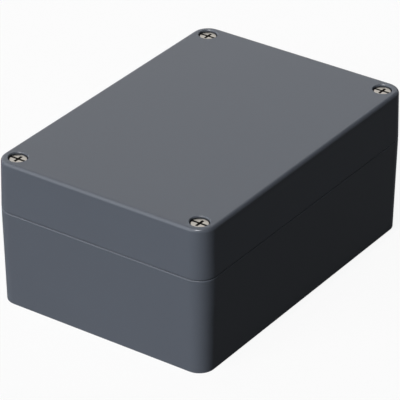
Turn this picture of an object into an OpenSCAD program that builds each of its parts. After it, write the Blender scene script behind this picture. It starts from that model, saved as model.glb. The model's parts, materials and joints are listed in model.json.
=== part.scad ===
// Die-cast aluminium box with a deep screwed lid, closed.
//
// The origin is at the middle of the underside, where the box stands. X runs along
// the length, Y along the width and Z up. The lid meets the base at z = base_h, the
// joint. Both castings are hollow, taper away from the joint by their draft, and
// carry a solid block in each corner, outside the seal. A block holds one captive
// lid screw and, beside it along Y, one hole for fixing the base to a wall.

/* [Box] */
// Outside length at the joint
box_l = 171.5; // [140:0.5:260]
// Outside width at the joint
box_w = 120; // [98:1:200]
// Height of the base, from the underside to the joint
base_h = 49.9; // [36:0.1:100]
// Height of the lid, from the joint to its top face
lid_h = 26.3; // [21:0.1:60]
// Radius of the upright corners at the joint
corner_r = 9.1; // [6:0.1:10.5]
// How far the base's sides lean in by the underside
base_draft = 1.1; // [0.4:0.1:2]
// How far the lid's sides lean in by the top face
lid_draft = 0.5; // [0.3:0.1:1]
// Rounding of the edge around the lid's top face
top_edge_r = 1.8; // [0.8:0.1:2.4]
// Rounding of the edge around the underside
foot_edge_r = 0.2; // [0.2:0.1:1]
// Rounding of the two edges that meet at the joint
joint_edge_r = 0.7; // [0.3:0.1:0.9]

/* [Walls] */
// Thickness of the floor
floor_t = 3.2; // [2.6:0.1:5]
// Thickness of the lid's top
roof_t = 3; // [2.4:0.1:4.5]
// Flat land on each side of the seal's groove
rim_land = 1.2; // [1.1:0.1:2]
// Draft angle of the inside walls, in degrees
core_draft = 1; // [0.5:0.1:1.5]
// Fillet where the inside walls meet the floor or the roof
core_fillet_r = 2.4; // [0.8:0.1:2.6]

/* [Seal] */
// Width of the groove in the lid's rim
groove_w = 2.6; // [2:0.1:3.2]
// Width of the gasket that lies in the groove
gasket_w = 2.4; // [1.6:0.1:3]
// Height of the gasket
gasket_t = 2.3; // [1.5:0.1:3]
// Width of the tongue on the base's rim
tongue_w = 1.4; // [1:0.1:1.8]
// Height of the tongue, which presses on the gasket
tongue_h = 1.3; // [0.8:0.1:2]
// Bend radius of the seal's centre line round the cavity's corners
seal_bend_r = 6.5; // [6.4:0.1:7.5]
// Bend radius of the seal's centre line where it passes a corner block
seal_pass_r = 4; // [2:0.1:5]
// Metal left between the seal's groove and the holes in a block
seal_margin = 1.5; // [1.2:0.1:2.5]

/* [Lid screws] */
// Distance of each lid screw from the two sides of its corner, at the joint
screw_edge = 8.7; // [8.4:0.1:10]
// Outside diameter of the screw's thread and shank
screw_d = 5; // [4:0.1:5.4]
// Thread pitch, which is the rise for each turn
screw_pitch = 0.8; // [0.5:0.05:1]
// Turns from tight to free
screw_turns = 10; // [6:1:11]
// Diameter of the screw head
head_d = 8.5; // [7:0.1:9]
// Height of the screw head
head_h = 3.3; // [2.6:0.1:4]
// Depth of the head's top below the lid's top face
head_sink = 1; // [0.4:0.1:2]
// Gap all round between the head and its counterbore
head_gap = 0.45; // [0.2:0.05:0.6]
// Chamfer at the mouth of each counterbore
mouth_chamfer = 0.35; // [0.2:0.05:0.6]
// Gap all round between the shank and its hole in the lid
shank_gap = 0.3; // [0.2:0.05:0.5]
// Gap all round between the thread and its tapped hole
thread_gap = 0.05; // [0.02:0.01:0.1]
// Length of plain hole above the tapped hole in the base
lead_in = 2; // [1.5:0.1:3]
// Length of tapped hole left below the screw's tip
tap_spare = 2.5; // [1:0.1:4]
// Width of the driver slot
slot_w = 1.3; // [1:0.1:1.6]
// Depth of the driver slot
slot_depth = 1.6; // [1:0.1:2.2]
// Span of the cross recess's short arm
cross_span = 5.6; // [4:0.1:6]
// Width of the cross recess's short arm
cross_w = 1.5; // [1:0.1:2]
// Depth of the cross recess
cross_depth = 2; // [1.2:0.1:2.4]

/* [Retaining clips] */
// Outside diameter of the clip that keeps a screw in the lid
clip_d = 8.4; // [7:0.1:9]
// Thickness of the clip
clip_t = 1; // [0.8:0.1:1.4]
// Diameter of the screw in the clip's groove
clip_root_d = 3.8; // [3.2:0.1:4.2]
// Width of the clip's open side
clip_mouth = 3; // [2:0.1:3.5]
// Gap between the clip and its groove, at the root and at each face
clip_gap = 0.05; // [0.02:0.01:0.1]
// Height of the clip above the joint when the screw is tight
clip_rise = 0.5; // [0.3:0.1:1.5]
// Gap all round between the clip and its pocket
clip_pocket_gap = 0.5; // [0.3:0.05:0.8]
// Gap left between the clip and its pocket's roof when the screw is free
clip_stop_gap = 0.3; // [0.15:0.05:0.5]

/* [Wall fixing] */
// Distance along Y from a lid screw to its wall-fixing hole
fix_gap = 13.3; // [12.5:0.1:16]
// Diameter of the wall-fixing hole in its ledge
fix_hole_d = 6.5; // [5:0.1:7]
// Diameter of the bore that lets the fixing screw's head down to the ledge
fix_bore_d = 10.5; // [9:0.1:11]
// Thickness of the ledge under the fixing screw's head
fix_ledge = 6; // [4:0.5:10]
// Depth of the relief above each wall-fixing bore, in the lid
fix_relief = 15; // [8:0.5:16]

/* [Mounting bosses] */
// Distance between bosses along X
boss_x = 116; // [80:1:180]
// Distance between bosses along Y
boss_y = 90; // [50:1:150]
// Diameter of a boss at its top
boss_d = 9; // [8:0.1:11]
// Height of a boss above the floor
boss_h = 7; // [6:0.5:12]
// Diameter of the tapped hole in a boss
boss_hole_d = 4; // [3:0.1:5]
// Depth of the tapped hole in a boss
boss_hole_depth = 7.5; // [5:0.1:8]
// How much wider a boss is at its foot
boss_flare = 0.8; // [0.2:0.1:2]

/* [Earth terminals] */
// Distance of the base's earth terminal from the box's end
earth_edge = 14; // [13.5:0.5:20]
// Distance of the lid's earth terminal from the box's middle, along X
lid_earth_x = 48; // [20:1:52]
// Diameter of an earth boss at its face
earth_boss_d = 13; // [12:0.1:15]
// Height of an earth boss
earth_boss_h = 7; // [6.5:0.5:10]
// Depth of the tapped hole in an earth boss
earth_hole_depth = 8; // [6:0.1:8]
// Side of the square clamp plate
plate_side = 10; // [9:0.1:12]
// Thickness of the clamp plate
plate_t = 1; // [0.6:0.1:1.6]
// Outside diameter of the spring washer
spring_d = 8.8; // [8:0.1:9.5]
// Thickness of the spring washer when it is squeezed flat
spring_t = 1.2; // [0.8:0.1:1.6]
// Gap across the split in the spring washer
spring_split = 0.6; // [0.3:0.1:1]
// Length of an earth screw under its head
earth_screw_l = 9; // [8:0.1:10]

/* [Hidden] */
$fn = 64;

paint = [0.42, 0.43, 0.46];
nickel = [0.74, 0.72, 0.68];
zinc = [0.66, 0.67, 0.69];
seal_black = [0.1, 0.1, 0.11];

// Extra length on a cut, so that it runs clear of the face that it opens.
over = 1;
// Straight steps in a casting's rounded edge or fillet.
arc_steps = 8;
// Corner signs in X and Y, counter-clockwise from the near left corner.
corner_sign = [[-1, -1], [1, -1], [1, 1], [-1, 1]];

box_h = base_h + lid_h;

// Lid screws: where they stand, and their levels.
screw_x = box_l / 2 - screw_edge;
screw_y = box_w / 2 - screw_edge;
screw_travel = screw_turns * screw_pitch;
head_top = box_h - head_sink;
head_seat = head_top - head_h;
counterbore_d = head_d + 2 * head_gap;
shank_hole_d = screw_d + 2 * shank_gap;
// The thread is cut back from the tapped hole's wall by its gap.
thread_d = screw_d - 2 * thread_gap;
screw_tip = base_h - lead_in - screw_travel;
tap_bottom = screw_tip - tap_spare;
lead_in_d = screw_d + 0.8;
tip_chamfer = 0.9;
head_chamfer = 0.35;

// Retaining clips.
clip_bottom = base_h + clip_rise;
clip_hole_d = clip_root_d + 2 * clip_gap;
clip_pocket_d = clip_d + 2 * clip_pocket_gap;
clip_pocket_h = clip_rise + clip_t + screw_travel + clip_stop_gap;

// Wall-fixing holes.
fix_y = screw_y - fix_gap;

// The seal's centre line. It follows the sides and steps in round each block.
rim_w = groove_w + 2 * rim_land;
groove_depth = tongue_h + gasket_t;
seal_x = box_l / 2 - rim_w / 2;
seal_y = box_w / 2 - rim_w / 2;
step_x = screw_x - clip_pocket_d / 2 - seal_margin - groove_w / 2;
step_y = fix_y - fix_bore_d / 2 - seal_margin - groove_w / 2;

// Earth terminals.
earth_x = -(box_l / 2 - earth_edge);
earth_face = floor_t + earth_boss_h;
lid_earth_face = box_h - roof_t - earth_boss_h;
earth_head_chamfer = 0.3;

// Puts its child in all four quarters of the box.
module quarters() {
    for (mx = [0, 1], my = [0, 1])
        mirror([mx, 0, 0]) mirror([0, my, 0]) children();
}

// Half section of a casting's outer skin, from the corner's centre outwards. The
// open rim is at height 0 and the closed end at height h.
module skin_profile(h, lean, rim_r, end_r) {
    a = atan(lean / h);
    rim_c = [corner_r - rim_r * (1 + sin(a)) / cos(a), rim_r];
    end_c = [corner_r - (end_r + sin(a) * (h - end_r)) / cos(a), h - end_r];
    polygon(concat(
        [[0, h], [0, 0]],
        arc(rim_c, rim_r, -90, a),
        arc(end_c, end_r, a, 90)
    ));
}

// Points along an arc about c, from angle a0 to a1.
function arc(c, r, a0, a1) = [
    for (i = [0:arc_steps])
        let (a = a0 + (a1 - a0) * i / arc_steps)
            c + r * [cos(a), sin(a)]
];

// Solid outer form of a casting, standing on its rim.
module skin(h, lean, rim_r, end_r) {
    cx = box_l / 2 - corner_r;
    cy = box_w / 2 - corner_r;
    quarters()
        translate([cx, cy, 0])
            rotate_extrude(angle = 90) skin_profile(h, lean, rim_r, end_r);
    for (mx = [0, 1])
        mirror([mx, 0, 0]) translate([cx, cy, 0])
            rotate([90, 0, 0]) linear_extrude(2 * cy) skin_profile(h, lean, rim_r, end_r);
    for (my = [0, 1])
        mirror([0, my, 0]) translate([-cx, cy, 0])
            rotate([90, 0, 90]) linear_extrude(2 * cx) skin_profile(h, lean, rim_r, end_r);
    translate([-cx, -cy, 0]) cube([2 * cx, 2 * cy, h]);
}

// Sweeps a section along the seal's centre line. In the section, X is the distance
// from the line towards the cavity and Y is the height.
module along_seal() {
    for (my = [0, 1])
        mirror([0, my, 0]) translate([seal_bend_r - step_x, seal_y, 0])
            mirror([0, 1, 0]) rotate([90, 0, 90])
                linear_extrude(2 * (step_x - seal_bend_r)) children();
    for (mx = [0, 1])
        mirror([mx, 0, 0]) translate([seal_x, step_y - seal_bend_r, 0])
            mirror([1, 0, 0]) rotate([90, 0, 0])
                linear_extrude(2 * (step_y - seal_bend_r)) children();
    quarters() {
        seal_bend(step_x, seal_y) children();
        seal_bend(seal_x, step_y) children();
        translate([step_x, seal_y - seal_bend_r, 0])
            mirror([1, 0, 0]) rotate([90, 0, 0])
                linear_extrude(seal_y - seal_bend_r - step_y - seal_pass_r) children();
        translate([step_x + seal_pass_r, step_y, 0])
            mirror([0, 1, 0]) rotate([90, 0, 90])
                linear_extrude(seal_x - seal_bend_r - step_x - seal_pass_r) children();
        translate([step_x + seal_pass_r, step_y + seal_pass_r, 0])
            rotate([0, 0, 180]) rotate_extrude(angle = 90)
                translate([seal_pass_r, 0]) children();
    }
}

// One outward bend of the seal, whose straight runs would meet at x, y.
module seal_bend(x, y) {
    translate([x - seal_bend_r, y - seal_bend_r, 0])
        rotate_extrude(angle = 90) translate([seal_bend_r, 0]) mirror([1, 0]) children();
}

// Section of the cavity's edge, from its drafted wall in to the seal's bend centre.
module core_edge_profile(depth) {
    wall = rim_w / 2;
    end_c = [
        wall + (core_fillet_r + sin(core_draft) * (depth - core_fillet_r)) / cos(core_draft),
        depth - core_fillet_r
    ];
    polygon(concat(
        [[wall - over * tan(core_draft), -over], [seal_bend_r, -over], [seal_bend_r, depth]],
        arc(end_c, core_fillet_r, 90, 180 - core_draft)
    ));
}

// The cavity of a casting, from past its rim to its closed end at height depth.
module core(depth) {
    in_x = seal_x - seal_bend_r;
    in_y = seal_y - seal_bend_r;
    step_in_x = step_x - seal_bend_r;
    step_in_y = step_y - seal_bend_r;
    reach = seal_pass_r + seal_bend_r;
    lap = 0.3;
    along_seal() core_edge_profile(depth);
    translate([-step_in_x, -in_y, -over]) cube([2 * step_in_x, 2 * in_y, depth + over]);
    translate([-in_x, -step_in_y, -over]) cube([2 * in_x, 2 * step_in_y, depth + over]);
    // Fills between the two cubes and the bend that passes each block.
    quarters()
        translate([step_in_x, step_in_y, -over]) linear_extrude(depth + over)
            difference() {
                square(reach);
                translate([reach, reach]) circle(reach - lap);
            }
}

// A tapped round boss on the floor, without its hole.
module boss(d, h) {
    cylinder(d1 = d + boss_flare, d2 = d, h = h);
}

module base() {
    color(paint)
        difference() {
            union() {
                difference() {
                    translate([0, 0, base_h]) mirror([0, 0, 1])
                        skin(base_h, base_draft, joint_edge_r, foot_edge_r);
                    translate([0, 0, base_h]) mirror([0, 0, 1]) core(base_h - floor_t);
                }
                translate([0, 0, base_h]) along_seal() tongue_profile();
                quarters()
                    translate([boss_x / 2, boss_y / 2, floor_t - over])
                        boss(boss_d, boss_h + over);
                translate([earth_x, 0, floor_t - over])
                    boss(earth_boss_d, earth_boss_h + over);
            }
            quarters() {
                translate([screw_x, screw_y, 0]) lid_screw_hole();
                translate([screw_x, fix_y, 0]) fixing_hole();
                translate([boss_x / 2, boss_y / 2, floor_t + boss_h - boss_hole_depth])
                    cylinder(d = boss_hole_d, h = boss_hole_depth + over);
            }
            translate([earth_x, 0, earth_face - earth_hole_depth])
                cylinder(d = screw_d, h = earth_hole_depth + over);
        }
}

// Section of the rim's tongue, with its top edges eased.
module tongue_profile() {
    ease = 0.3;
    w = tongue_w / 2;
    polygon([
        [-w, -over / 2], [w, -over / 2], [w, tongue_h - ease],
        [w - ease, tongue_h], [ease - w, tongue_h], [-w, tongue_h - ease]
    ]);
}

// Tapped hole for a lid screw, with its plain lead-in.
module lid_screw_hole() {
    translate([0, 0, tap_bottom]) cylinder(d = screw_d, h = base_h + over - tap_bottom);
    translate([0, 0, base_h - lead_in]) cylinder(d = lead_in_d, h = lead_in + over);
}

// Wall-fixing hole, with the bore that its screw goes down.
module fixing_hole() {
    translate([0, 0, -over]) cylinder(d = fix_hole_d, h = base_h);
    translate([0, 0, fix_ledge]) cylinder(d = fix_bore_d, h = base_h - fix_ledge + over);
}

module lid() {
    color(paint)
        difference() {
            union() {
                difference() {
                    translate([0, 0, base_h]) skin(lid_h, lid_draft, joint_edge_r, top_edge_r);
                    translate([0, 0, base_h]) core(lid_h - roof_t);
                }
                translate([lid_earth_x, 0, box_h - roof_t + over]) mirror([0, 0, 1])
                    boss(earth_boss_d, earth_boss_h + over);
            }
            translate([0, 0, base_h]) along_seal() groove_profile();
            quarters() {
                translate([screw_x, screw_y, 0]) captive_screw_hole();
                translate([screw_x, fix_y, base_h - over])
                    cylinder(d = fix_bore_d, h = fix_relief + over);
            }
            translate([lid_earth_x, 0, lid_earth_face - over])
                cylinder(d = screw_d, h = earth_hole_depth + over);
        }
}

// Section of the groove in the lid's rim.
module groove_profile() {
    translate([-groove_w / 2, -over]) square([groove_w, groove_depth + over]);
}

// Counterbore, shank hole and clip pocket, from the lid's top down to its rim.
module captive_screw_hole() {
    translate([0, 0, head_seat]) cylinder(d = counterbore_d, h = head_h + head_sink + over);
    translate([0, 0, box_h - mouth_chamfer])
        cylinder(d1 = counterbore_d, d2 = counterbore_d + 4 * mouth_chamfer,
                 h = 2 * mouth_chamfer);
    translate([0, 0, base_h - over]) cylinder(d = shank_hole_d, h = lid_h);
    translate([0, 0, base_h - over]) cylinder(d = clip_pocket_d, h = clip_pocket_h + over);
}

module lid_gasket() {
    color(seal_black)
        translate([0, 0, base_h + tongue_h]) along_seal()
            translate([-gasket_w / 2, 0]) square([gasket_w, gasket_t]);
}

// Driver slot across the whole head, along Y, with a shorter cross arm along X.
module driver_recess(top) {
    translate([-slot_w / 2, -head_d, top - slot_depth])
        cube([slot_w, 2 * head_d, slot_depth + over]);
    translate([-cross_span / 2, -cross_w / 2, top - cross_depth])
        cube([cross_span, cross_w, cross_depth + over]);
}

// One captive lid screw, tight, in the corner numbered i.
module lid_screw(i) {
    groove_bottom = clip_bottom - clip_gap;
    groove_top = clip_bottom + clip_t + clip_gap;
    color(nickel)
        translate([corner_sign[i - 1][0] * screw_x, corner_sign[i - 1][1] * screw_y, 0])
            difference() {
                rotate_extrude()
                    polygon([
                        [0, screw_tip], [thread_d / 2 - tip_chamfer, screw_tip],
                        [thread_d / 2, screw_tip + tip_chamfer], [thread_d / 2, groove_bottom],
                        [clip_root_d / 2, groove_bottom], [clip_root_d / 2, groove_top],
                        [screw_d / 2, groove_top], [screw_d / 2, head_seat],
                        [head_d / 2, head_seat], [head_d / 2, head_top - head_chamfer],
                        [head_d / 2 - head_chamfer, head_top], [0, head_top]
                    ]);
                driver_recess(head_top);
            }
}

// The clip on lid screw i, open towards the box's end.
module retaining_clip(i) {
    color(zinc)
        translate([corner_sign[i - 1][0] * screw_x, corner_sign[i - 1][1] * screw_y, clip_bottom])
            difference() {
                cylinder(d = clip_d, h = clip_t);
                translate([0, 0, -over]) cylinder(d = clip_hole_d, h = clip_t + 2 * over);
                mirror([corner_sign[i - 1][0] < 0 ? 1 : 0, 0, 0])
                    translate([0, -clip_mouth / 2, -over]) cube([clip_d, clip_mouth, clip_t + 2 * over]);
            }
}

// Terminal pieces, drawn with the boss's face at height 0 and standing up from it.
module terminal_plate() {
    color(zinc)
        difference() {
            translate([-plate_side / 2, -plate_side / 2, 0]) cube([plate_side, plate_side, plate_t]);
            translate([0, 0, -over]) cylinder(d = screw_d, h = plate_t + 2 * over);
        }
}

module terminal_spring_washer() {
    color(zinc)
        translate([0, 0, plate_t])
            difference() {
                cylinder(d = spring_d, h = spring_t);
                translate([0, 0, -over]) cylinder(d = screw_d, h = spring_t + 2 * over);
                translate([0, -spring_split / 2, -over])
                    cube([spring_d, spring_split, spring_t + 2 * over]);
            }
}

module terminal_screw() {
    seat = plate_t + spring_t;
    tip = seat - earth_screw_l;
    top = seat + head_h;
    color(nickel)
        difference() {
            rotate_extrude()
                polygon([
                    [0, tip], [thread_d / 2 - tip_chamfer, tip],
                    [thread_d / 2, tip + tip_chamfer], [thread_d / 2, seat],
                    [head_d / 2, seat], [head_d / 2, top - earth_head_chamfer],
                    [head_d / 2 - earth_head_chamfer, top], [0, top]
                ]);
            driver_recess(top);
        }
}

// Places a terminal's piece on the base's boss, or upside down on the lid's boss.
module on_base_terminal() {
    translate([earth_x, 0, earth_face]) children();
}

module on_lid_terminal() {
    translate([lid_earth_x, 0, lid_earth_face]) rotate([180, 0, 0]) children();
}

base();
lid();
lid_gasket();
lid_screw(1);  // lid_screw_1
lid_screw(2);  // lid_screw_2
lid_screw(3);  // lid_screw_3
lid_screw(4);  // lid_screw_4
retaining_clip(1);  // retaining_clip_1
retaining_clip(2);  // retaining_clip_2
retaining_clip(3);  // retaining_clip_3
retaining_clip(4);  // retaining_clip_4
on_base_terminal() terminal_screw();  // earth_screw
on_base_terminal() terminal_spring_washer();  // earth_spring_washer
on_base_terminal() terminal_plate();  // earth_clamp_plate
on_lid_terminal() terminal_screw();  // lid_earth_screw
on_lid_terminal() terminal_spring_washer();  // lid_earth_spring_washer
on_lid_terminal() terminal_plate();  // lid_earth_clamp_plate
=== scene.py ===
# Finishes, fine metal pieces and studio for a die-cast aluminium box with a screwed lid.
# It is laid out as an add-on and run as a script. Lengths are in metres, in the
# part's own frame: X along the length, Y along the width, Z up from the underside.
import json
import math

import bmesh
import bpy
from bpy.props import (
    BoolProperty, CollectionProperty, FloatProperty, FloatVectorProperty, IntProperty,
    PointerProperty
)
from mathutils import Matrix, Vector


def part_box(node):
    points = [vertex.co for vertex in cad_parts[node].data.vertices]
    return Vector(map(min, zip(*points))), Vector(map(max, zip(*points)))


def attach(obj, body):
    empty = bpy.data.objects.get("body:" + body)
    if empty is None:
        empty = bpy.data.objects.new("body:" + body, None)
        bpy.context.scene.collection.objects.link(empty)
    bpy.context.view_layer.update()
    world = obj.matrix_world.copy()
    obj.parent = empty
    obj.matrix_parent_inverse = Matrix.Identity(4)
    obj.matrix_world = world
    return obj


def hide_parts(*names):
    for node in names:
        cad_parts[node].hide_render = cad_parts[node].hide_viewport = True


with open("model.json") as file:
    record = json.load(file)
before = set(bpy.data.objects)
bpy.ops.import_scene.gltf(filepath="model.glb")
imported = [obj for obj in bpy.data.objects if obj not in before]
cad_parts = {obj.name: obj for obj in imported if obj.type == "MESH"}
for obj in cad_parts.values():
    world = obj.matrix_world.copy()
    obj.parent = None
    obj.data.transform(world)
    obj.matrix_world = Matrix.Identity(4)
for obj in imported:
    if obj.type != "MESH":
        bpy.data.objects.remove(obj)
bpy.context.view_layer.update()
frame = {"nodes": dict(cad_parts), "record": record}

bl_info = {
    "name": "Die-Cast Box Finisher",
    "version": (1, 0, 0),
    "blender": (4, 5, 0),
    "location": "View3D > Sidebar > Box",
    "description": "Paints the castings, makes the screws, clips and terminals, and sets the studio",
    "category": "Object",
}

MM = 0.001
MICRON = 0.000001
CORNERS = (1, 2, 3, 4)
TERMINALS = ("", "lid_")
# Signs of x and y at the four corners of a square, in order round it.
SQUARE = ((-1, -1), (1, -1), (1, 1), (-1, 1))


# ---------------------------------------------------------------- sizes from the frame

def middle(node):
    """Centre of a node's box, seen from above, as (x, y)."""
    low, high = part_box(node)
    return (low.x + high.x) / 2, (low.y + high.y) / 2


def size_of(node):
    """Length, width and height of a node's box."""
    low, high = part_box(node)
    return high - low


def reach_between(node, low, high):
    """Largest |x| and |y| of a node's points between two heights."""
    points = [v.co for v in frame["nodes"][node].data.vertices if low <= v.co.z <= high]
    return max(abs(p.x) for p in points), max(abs(p.y) for p in points)


MOUNTS = {mount["name"]: mount for mount in frame["record"]["mounts"]}
JOINT_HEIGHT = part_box("lid")[0].z
TOP_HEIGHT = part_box("lid")[1].z
# The lid screws are alike. The third one is where x and y are both positive.
HEAD_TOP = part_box("lid_screw_3")[1].z
SCREW_X, SCREW_Y = middle("lid_screw_3")
HEAD_RADIUS = size_of("lid_screw_3").x / 2
CLIP = size_of("retaining_clip_3")
WASHER = size_of("earth_spring_washer")
PLATE = size_of("earth_clamp_plate")
EARTH_SCREW_LENGTH = size_of("earth_screw").z

# Sizes of the castings that the frame's boxes don't give: the radius of their upright
# corners, how far round a screw's head the paint of its well is looked for, which takes in
# the well's wall, and how far that paint reaches below the head's seat.
CORNER_RADIUS = 9.1 * MM
WELL_CLEARANCE = 0.6 * MM
SEAT_MARGIN = 0.2 * MM
# Width of the cross recess's short arm at its top, as a share of the slot's width.
ARM_SHARE = 1.1
# How near the joint and a casting's closed end its outline is measured.
RIM_REACH = 1.5 * MM
END_REACH = 6 * MM
# Depths at which a thread starts and ends, below the face that its hole opens in. The lid
# screws' threads end by a run-out below the screw's tip instead.
LID_HOLE_START = 2.1 * MM
LID_HOLE_RUN_OUT = 2.2 * MM
TERMINAL_HOLE = (0.1 * MM, 7.6 * MM)
BOSS_HOLE = (0.15 * MM, 7.1 * MM)


# ---------------------------------------------------------------- settings

class BoxPaint(bpy.types.PropertyGroup):
    """Paint on the outside of both castings, and the bare metal inside."""
    colour: FloatVectorProperty(
        name="Paint colour", description="Colour of the powder coat",
        subtype="COLOR", size=3, min=0, max=1, default=(0.1, 0.113, 0.138))
    roughness: FloatProperty(
        name="Paint roughness", description="Roughness of the powder coat",
        subtype="FACTOR", min=0, max=1, default=0.3)
    gloss: FloatProperty(
        name="Paint gloss", description="Strength of the powder coat's reflections",
        subtype="FACTOR", min=0, max=1, default=0.38)
    peel_size: FloatProperty(
        name="Orange peel size", description="Spacing of the powder coat's orange peel",
        unit="LENGTH", min=0.0002, max=0.01, default=1.6 * MM)
    peel_depth: FloatProperty(
        name="Orange peel depth", description="Height of the powder coat's orange peel",
        unit="LENGTH", min=0, max=0.0001, default=6 * MICRON)
    wrap: FloatProperty(
        name="Paint wrap", description="How far the paint reaches round the outside edges",
        unit="LENGTH", min=0.0002, max=0.003, default=0.8 * MM)
    bare_colour: FloatVectorProperty(
        name="Bare casting colour", description="Colour of the unpainted aluminium",
        subtype="COLOR", size=3, min=0, max=1, default=(0.62, 0.62, 0.63))
    bare_roughness: FloatProperty(
        name="Bare casting roughness", description="Roughness of the unpainted aluminium",
        subtype="FACTOR", min=0, max=1, default=0.58)


class BoxWearAndShade(bpy.types.PropertyGroup):
    """Painted shade in the joint, the screw wells and the driver recesses, with dust and rubbed
    edges.
    """
    # Painted shade: lid_seam and base_seam set how far the dark line painted into the joint's groove
    # reaches.
    lid_seam: FloatProperty(
        name="Lid seam", description="How far grime in the joint reaches up the lid",
        unit="LENGTH", min=0.00001, max=0.002, default=0.6 * MM)
    base_seam: FloatProperty(
        name="Base seam", description="How far grime in the joint reaches down the base",
        unit="LENGTH", min=0.00001, max=0.002, default=0.08 * MM)
    # Painted shade: how dark the line painted into the joint's groove is.
    seam_shade: FloatProperty(
        name="Seam grime", description="How much grime hides the paint in the joint",
        subtype="FACTOR", min=0, max=1, default=0.85)
    # Painted shade: how dark the screw wells are painted below their mouths.
    well_shade: FloatProperty(
        name="Well grime", description="How much grime hides the paint in the screw wells",
        subtype="FACTOR", min=0, max=1, default=0.75)
    # Painted shade: how dark the driver slot and cross are painted.
    recess_shade: FloatProperty(
        name="Recess grime", description="How much grime hides the metal in a driver recess",
        subtype="FACTOR", min=0, max=1, default=0.93)
    dust: FloatProperty(
        name="Dust", description="How much dust lies on the faces that look up",
        subtype="FACTOR", min=0, max=1, default=0.12)
    # Painted shade: near-black colour painted into the screw wells and the joint's groove.
    shade_colour: FloatVectorProperty(
        name="Grime colour", description="Colour of grime on the paint",
        subtype="COLOR", size=3, min=0, max=1, default=(0.012, 0.012, 0.012))
    # Painted shade: dark colour painted into the driver slots and crosses.
    recess_shade_colour: FloatVectorProperty(
        name="Oily grime colour", description="Colour of grime in the driver recesses",
        subtype="COLOR", size=3, min=0, max=1, default=(0.03, 0.026, 0.022))
    dust_colour: FloatVectorProperty(
        name="Dust colour", description="Colour of dust on the paint",
        subtype="COLOR", size=3, min=0, max=1, default=(0.35, 0.34, 0.32))
    rubbed_colour: FloatVectorProperty(
        name="Rubbed colour", description="Colour of paint rubbed thin on an edge",
        subtype="COLOR", size=3, min=0, max=1, default=(0.2, 0.21, 0.23))


class BoxMetal(bpy.types.PropertyGroup):
    """Colours of the screws, clips, washers and plates, and of the gasket."""
    nickel: FloatVectorProperty(
        name="Nickel colour", description="Colour of the plated screws",
        subtype="COLOR", size=3, min=0, max=1, default=(0.48, 0.45, 0.405))
    spring: FloatVectorProperty(
        name="Spring steel colour", description="Colour of the clips and spring washers",
        subtype="COLOR", size=3, min=0, max=1, default=(0.34, 0.34, 0.35))
    zinc: FloatVectorProperty(
        name="Zinc colour", description="Colour of the clamp plates",
        subtype="COLOR", size=3, min=0, max=1, default=(0.58, 0.59, 0.62))
    rubber: FloatVectorProperty(
        name="Gasket colour", description="Colour of the gasket's rubber",
        subtype="COLOR", size=3, min=0, max=1, default=(0.022, 0.022, 0.024))


class BoxScrews(bpy.types.PropertyGroup):
    """Screws, their driver recesses and their threads."""
    crest_radius: FloatProperty(
        name="Crest radius", description="Radius of the screw thread at its crests",
        unit="LENGTH", min=0.001, max=0.005, default=2.45 * MM)
    pitch: FloatProperty(
        name="Pitch", description="Rise of the screw thread in one turn",
        unit="LENGTH", min=0.0003, max=0.0015, default=0.8 * MM)
    tip_chamfer: FloatProperty(
        name="Tip chamfer", description="How much smaller the tip's radius is than the crests'",
        unit="LENGTH", min=0.0001, max=0.002, default=0.9 * MM)
    shank_radius: FloatProperty(
        name="Shank radius", description="Radius of the plain shank",
        unit="LENGTH", min=0.001, max=0.005, default=2.5 * MM)
    groove_radius: FloatProperty(
        name="Groove radius", description="Radius of a lid screw in the groove for its clip",
        unit="LENGTH", min=0.001, max=0.005, default=1.9 * MM)
    head_height: FloatProperty(
        name="Head height", description="Height of the screw head",
        unit="LENGTH", min=0.001, max=0.006, default=3.3 * MM)
    head_edge: FloatProperty(
        name="Head edge", description="Rounding of the head's top edge",
        unit="LENGTH", min=0.00005, max=0.001, default=0.35 * MM)
    slot_width: FloatProperty(
        name="Slot width", description="Width of the driver slot",
        unit="LENGTH", min=0.0005, max=0.003, default=1.3 * MM)
    slot_depth: FloatProperty(
        name="Slot depth", description="Depth of the driver slot",
        unit="LENGTH", min=0.0005, max=0.003, default=1.6 * MM)
    cross_span: FloatProperty(
        name="Cross span", description="Span of the cross recess's short arm",
        unit="LENGTH", min=0.002, max=0.008, default=5.6 * MM)
    cross_depth: FloatProperty(
        name="Cross depth", description="Depth of the cross recess",
        unit="LENGTH", min=0.0005, max=0.003, default=2 * MM)
    boss_pitch: FloatProperty(
        name="Boss pitch", description="Rise of a boss's inside thread in one turn",
        unit="LENGTH", min=0.0003, max=0.0015, default=0.7 * MM)
    sides: IntProperty(
        name="Sides", description="Straight sides round a screw",
        min=24, max=192, default=80)


class BoxFittings(bpy.types.PropertyGroup):
    """Retaining clips, and the spring washers and clamp plates of the terminals."""
    clip_grip: FloatProperty(
        name="Clip grip", description="Radius inside the prongs of a clip",
        unit="LENGTH", min=0.0015, max=0.003, default=1.95 * MM)
    clip_relief: FloatProperty(
        name="Clip relief", description="Radius inside a clip between its prongs",
        unit="LENGTH", min=0.0015, max=0.004, default=2.7 * MM)
    clip_mouth: FloatProperty(
        name="Clip mouth", description="Half of the angle that a clip's mouth opens",
        subtype="ANGLE", min=0.1, max=1.4, default=math.radians(43))
    hole_radius: FloatProperty(
        name="Hole radius", description="Radius of the hole in a spring washer and a clamp plate",
        unit="LENGTH", min=0.001, max=0.004, default=2.55 * MM)
    washer_split: FloatProperty(
        name="Washer split", description="Half of the angle that a spring washer's gap takes",
        subtype="ANGLE", min=0.01, max=0.5, default=0.07)
    plate_corner: FloatProperty(
        name="Plate corner", description="Radius of a clamp plate's corners",
        unit="LENGTH", min=0.0002, max=0.003, default=1.3 * MM)


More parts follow.
